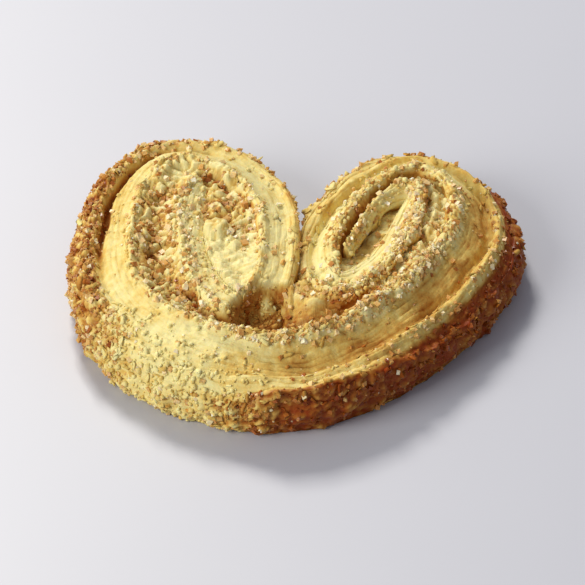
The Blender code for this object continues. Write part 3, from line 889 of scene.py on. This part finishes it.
def scattered(name, shape, spots, sizes, draw, lying=False):
    """Uneven copies of a shape at the spots, sunk in or lying on the surface, inside the part's own box."""
    corners, faces = shape
    count = spots.count
    least, more, rarity = sizes
    sides = least + more * draw.random(count) ** rarity
    skew = draw.uniform(*SKEW, size=(count, len(corners), 1))
    stretch = draw.uniform(*STRETCH, size=(count, 1, 3))
    points = corners[None] * skew * stretch
    if lying:
        points[..., 2] += draw.uniform(*FLAKE_BEND, size=(count, 1)) * points[..., 0] ** 2
        turns = lying_turns(spots.normals, draw)
    else:
        turns = random_turns(count, draw)
    points = np.einsum("nij,nkj->nki", turns, points * sides[:, None, None])
    thickness, sink = (FLAKE_THICKNESS, FLAKE_SINK) if lying else (1.0, SINK)
    where = spots.places + spots.normals * (sides * thickness * (0.5 - sink))[:, None]
    points = points + where[:, None, :]
    low = np.array(CAD_BOX[0]) - [*HEART_SHIFT, 0] - [BOX_ROOM, BOX_ROOM, 0]
    high = np.array(CAD_BOX[1]) - [*HEART_SHIFT, 0] + BOX_ROOM
    points += np.clip(low - points.min(axis=1), 0, None)[:, None, :]
    points -= np.clip(points.max(axis=1) - high, 0, None)[:, None, :]
    shift = np.arange(count)[:, None, None] * len(corners)
    return filled_mesh(name, points, (faces[None] + shift).reshape(-1, faces.shape[1]))


def make_grains(name, spots, sizes, draw):
    """Grains are browner where the pastry is, painted shade included, and a few of them stay clear and pale,
    partly as painted glints.
    """
    grains = scattered(name, (CUBE_CORNERS, CUBE_FACES), spots, sizes, draw)
    palest, more = GRAIN_TINT
    tint = palest + more * spots.bake + draw.normal(scale=TINT_SPREAD, size=spots.count)
    # clear grains: partly clear sugar, partly painted glints
    clear = draw.random(spots.count) < CLEAR_AND_GLINT_SHARE * (1.1 - spots.bake)
    tint = np.where(clear, CLEAR_AND_GLINT_TINT, np.clip(tint, 0, 1))
    keep_value(grains, "tint", np.repeat(tint, len(CUBE_CORNERS)))
    return grains


def make_pieces(name, shape, spots, sizes, draw, lying=False):
    """Crumbs or flakes, about as brown as the pastry that they lie on, painted shade included."""
    pieces = scattered(name, shape, spots, sizes, draw, lying)
    bake = np.clip(spots.bake + draw.normal(scale=BAKE_SPREAD, size=spots.count), 0, 1)
    keep_value(pieces, "bake", np.repeat(bake, len(shape[0])))
    pieces.data.shade_smooth()
    return pieces


def ramp(tree, stops, factor):
    """A colour ramp with the given (place, colour) stops, fed by factor."""
    made = tree.nodes.new("ShaderNodeValToRGB")
    elements = made.color_ramp.elements
    while len(elements) < len(stops):
        elements.new(0.5)
    for element, (place, colour) in zip(elements, stops):
        element.position = place
        element.color = (*colour, 1.0)
    tree.links.new(factor, made.inputs["Fac"])
    return made.outputs["Color"]


def stored(tree, name):
    """The number that keep_value stored under name."""
    made = tree.nodes.new("ShaderNodeAttribute")
    made.attribute_name = name
    return made.outputs["Fac"]


def sums(tree, operation, first, second):
    """One step of arithmetic on sockets or numbers."""
    made = tree.nodes.new("ShaderNodeMath")
    made.operation = operation
    for socket, value in zip(made.inputs, (first, second)):
        if isinstance(value, (int, float)):
            socket.default_value = value
        else:
            tree.links.new(value, socket)
    return made.outputs["Value"]


def varied(tree, value, texture, amount):
    """value plus texture's departure from its middle, times amount."""
    return sums(tree, "ADD", value, sums(tree, "MULTIPLY", sums(tree, "SUBTRACT", texture, 0.5), amount))


def set_inputs(node, values):
    for name, value in values.items():
        node.inputs[name].default_value = value


def texture_noise(tree, vector, scale, detail=3.0, roughness=0.55):
    made = tree.nodes.new("ShaderNodeTexNoise")
    set_inputs(made, {"Scale": scale, "Detail": detail, "Roughness": roughness})
    tree.links.new(vector, made.inputs["Vector"])
    return made.outputs["Fac"]


def bumped(tree, height, bump, below=None):
    """A normal that is bent by height, on top of the one below."""
    made = tree.nodes.new("ShaderNodeBump")
    set_inputs(made, {"Distance": bump[0], "Strength": bump[1]})
    tree.links.new(height, made.inputs["Height"])
    if below is not None:
        tree.links.new(below, made.inputs["Normal"])
    return made.outputs["Normal"]


def new_material(name):
    """A material, its tree, its shader and the coordinates of the piece that wears it."""
    made = bpy.data.materials.new(name)
    made.use_nodes = True
    tree = made.node_tree
    coordinates = tree.nodes.new("ShaderNodeTexCoord").outputs["Object"]
    return made, tree, tree.nodes["Principled BSDF"], coordinates


# What a surface's four values are
SURFACE = ("Specular IOR Level", "Subsurface Weight", "Subsurface Radius", "Subsurface Scale")
PASTRY_STOPS = (
    (0.00, (0.80, 0.71, 0.34)),
    (0.16, (0.77, 0.63, 0.25)),
    (0.34, (0.68, 0.475, 0.13)),
    (0.52, (0.54, 0.29, 0.06)),
    (0.72, (0.35, 0.108, 0.011)),
    (1.00, (0.26, 0.038, 0.002)),
)
PASTRY_SURFACE = (0.20, 0.10, (1.0, 0.55, 0.2), 0.0008)
LEAF_LINES_SCALE, LEAF_LINES_ALONG = 4.6, 0.12  # leaf lines per mm, and how much fewer along the band
BLOTCH_SCALE, SPECKLE_SCALE = 480.0, 1700.0  # per metre
LEAF_LINES_SHADE, BLOTCH_SHADE, SPECKLE_SHADE = 0.14, 0.38, 0.26  # shares of the browning
PLAIN_ROUGHNESS, SUGAR_GLOSS = 0.80, 0.42
FINE_BUMP, LEAF_BUMP = (0.00016, 0.7), (0.00018, 0.5)  # (distance, strength)


def pastry_material():
    """Baked pastry: its colour follows the browning and the painted shade, and fine leaves run along the
    band.
    """
    made, tree, shader, coordinates = new_material("baked_pastry_look")
    lines = tree.nodes.new("ShaderNodeCombineXYZ")
    tree.links.new(stored(tree, "across_mm"), lines.inputs["X"])
    tree.links.new(sums(tree, "MULTIPLY", stored(tree, "along_mm"), LEAF_LINES_ALONG), lines.inputs["Y"])
    leaf_lines = texture_noise(tree, lines.outputs["Vector"], LEAF_LINES_SCALE, detail=4.0, roughness=0.6)
    blotch = texture_noise(tree, coordinates, BLOTCH_SCALE)
    speckle = texture_noise(tree, coordinates, SPECKLE_SCALE, detail=2.0)
    shade = varied(tree, stored(tree, "bake"), leaf_lines, LEAF_LINES_SHADE)
    shade = varied(tree, shade, blotch, BLOTCH_SHADE)
    shade = varied(tree, shade, speckle, SPECKLE_SHADE)
    tree.links.new(ramp(tree, PASTRY_STOPS, shade), shader.inputs["Base Color"])
    gloss = sums(tree, "MULTIPLY", stored(tree, "sugar"), SUGAR_GLOSS)
    roughness = varied(tree, sums(tree, "SUBTRACT", PLAIN_ROUGHNESS, gloss), speckle, 0.2)
    tree.links.new(roughness, shader.inputs["Roughness"])
    fine = bumped(tree, speckle, FINE_BUMP)
    tree.links.new(bumped(tree, leaf_lines, LEAF_BUMP, fine), shader.inputs["Normal"])
    set_inputs(shader, dict(zip(SURFACE, PASTRY_SURFACE)))
    return made


GRAIN_STOPS = (
    (0.00, (0.90, 0.82, 0.62)),
    (0.22, (0.80, 0.59, 0.29)),
    (0.48, (0.62, 0.35, 0.10)),
    (0.75, (0.40, 0.14, 0.025)),
    (1.00, (0.22, 0.040, 0.005)),
)
GRAIN_SURFACE = (0.32, 0.35, (1.0, 0.7, 0.4), 0.0006)
CLOUD_SCALE, CLOUD_SHADE = 1600.0, 0.3
CLEAR_ROUGHNESS, CLOUD_ROUGHNESS = 0.12, 0.35
GRAIN_BUMP = (0.0001, 0.5)


def sugar_material():
    """Sugar grains, from nearly clear to caramel; the clearest also paint glints."""
    made, tree, shader, coordinates = new_material("sugar_look")
    cloudy = texture_noise(tree, coordinates, CLOUD_SCALE)
    shade = varied(tree, stored(tree, "tint"), cloudy, CLOUD_SHADE)
    tree.links.new(ramp(tree, GRAIN_STOPS, shade), shader.inputs["Base Color"])
    roughness = sums(tree, "ADD", sums(tree, "MULTIPLY", cloudy, CLOUD_ROUGHNESS), CLEAR_ROUGHNESS)
    tree.links.new(roughness, shader.inputs["Roughness"])
    tree.links.new(bumped(tree, cloudy, GRAIN_BUMP), shader.inputs["Normal"])
    set_inputs(shader, dict(zip(SURFACE, GRAIN_SURFACE)))
    return made


def dress(piece, material):
    piece.data.materials.clear()
    piece.data.materials.append(material)
    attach(piece, "root")


FLOOR_STOPS = ((0.0, (0.47, 0.48, 0.56)), (1.0, (0.51, 0.52, 0.60)))
FLOOR_SIZE = 3.0
FLOOR_ROUGHNESS = 0.4
FLOOR_TONE_SCALE = 8.0


def make_floor():
    bpy.ops.mesh.primitive_plane_add(size=FLOOR_SIZE, location=(0, 0, 0))
    floor = bpy.context.object
    floor.name = "floor"
    made, tree, shader, coordinates = new_material("pale_floor")
    tone = texture_noise(tree, coordinates, FLOOR_TONE_SCALE)
    tree.links.new(ramp(tree, FLOOR_STOPS, tone), shader.inputs["Base Color"])
    set_inputs(shader, {"Roughness": FLOOR_ROUGHNESS})
    floor.data.materials.append(made)


def aim(obj, target, azimuth, elevation, distance):
    """Puts obj at this azimuth (0 is in front, 90 to the right) from target, and turns it there."""
    turn, rise = math.radians(azimuth), math.radians(elevation)
    x, y, z = target
    flat = distance * math.cos(rise)
    obj.location = (x + flat * math.sin(turn), y - flat * math.cos(turn), z + distance * math.sin(rise))
    obj.rotation_euler = (Vector(target) - obj.location).to_track_quat("-Z", "Y").to_euler()


CAMERA_DISTANCE = 1.2
CAMERA_AT = (4.5, 40, CAMERA_DISTANCE)  # azimuth, elevation and distance
VIEW_WIDTH = 0.082
SENSOR_WIDTH = 36.0
LOOK_AT = (0.0, -0.0005, 0.004)


def make_camera():
    data = bpy.data.cameras.new("camera")
    data.sensor_width = SENSOR_WIDTH
    data.lens = SENSOR_WIDTH * CAMERA_DISTANCE / VIEW_WIDTH
    data.clip_start = 0.05
    data.clip_end = 10.0
    camera = added("camera", data)
    aim(camera, LOOK_AT, *CAMERA_AT)
    bpy.context.scene.camera = camera


# Name, azimuth, elevation, distance, size, power and colour
LIGHTS = (
    ("key", 202, 42, 0.9, 0.22, 5.8, (1.0, 0.96, 0.87)),
    ("fill", -55, 30, 1.2, 0.7, 12.1, (1.0, 0.97, 0.86)),
)
LIGHT_TARGET = (0.0, 0.0, 0.005)
ROOM_COLOUR = (0.95, 0.96, 1.0, 1.0)
ROOM_STRENGTH = 0.34


def make_lights():
    for name, azimuth, elevation, distance, size, power, colour in LIGHTS:
        data = bpy.data.lights.new(name, "AREA")
        data.size = size
        data.energy = power
        data.color = colour
        aim(added(name, data), LIGHT_TARGET, azimuth, elevation, distance)
    world = bpy.data.worlds.new("studio")
    world.use_nodes = True
    set_inputs(world.node_tree.nodes["Background"], {"Color": ROOM_COLOUR, "Strength": ROOM_STRENGTH})
    bpy.context.scene.world = world
    bpy.context.scene.view_settings.view_transform = "Standard"


def main():
    draw = np.random.default_rng(SEED)
    route = Route()
    band = Band(route)
    pastry = make_band(band)
    sugar_bed, bed_spots = make_bed(Bed(route), draw)
    spots = band.spots(band.grains, RIM_GRAINS, draw)
    rim_grains = make_grains("sugar_grains_rim", spots, RIM_GRAIN_SIZES, draw)
    bed_grains = make_grains("sugar_grains_bed", bed_spots, BED_GRAIN_SIZES, draw)
    spots = band.spots(band.crumbs, CRUMBS, draw)
    crumbs = make_pieces("palmier_crumbs", crumb_shape(), spots, CRUMB_SIZES, draw)
    spots = band.spots(band.flakes, FLAKES, draw)
    flakes = make_pieces("palmier_flakes", flake_shape(), spots, FLAKE_SIZES, draw, lying=True)

    pastry_look = pastry_material()
    sugar_look = sugar_material()
    for piece in (pastry, sugar_bed, crumbs, flakes):
        dress(piece, pastry_look)
    for piece in (rim_grains, bed_grains):
        dress(piece, sugar_look)
    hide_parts("palmier")

    make_floor()
    make_lights()
    make_camera()


main()
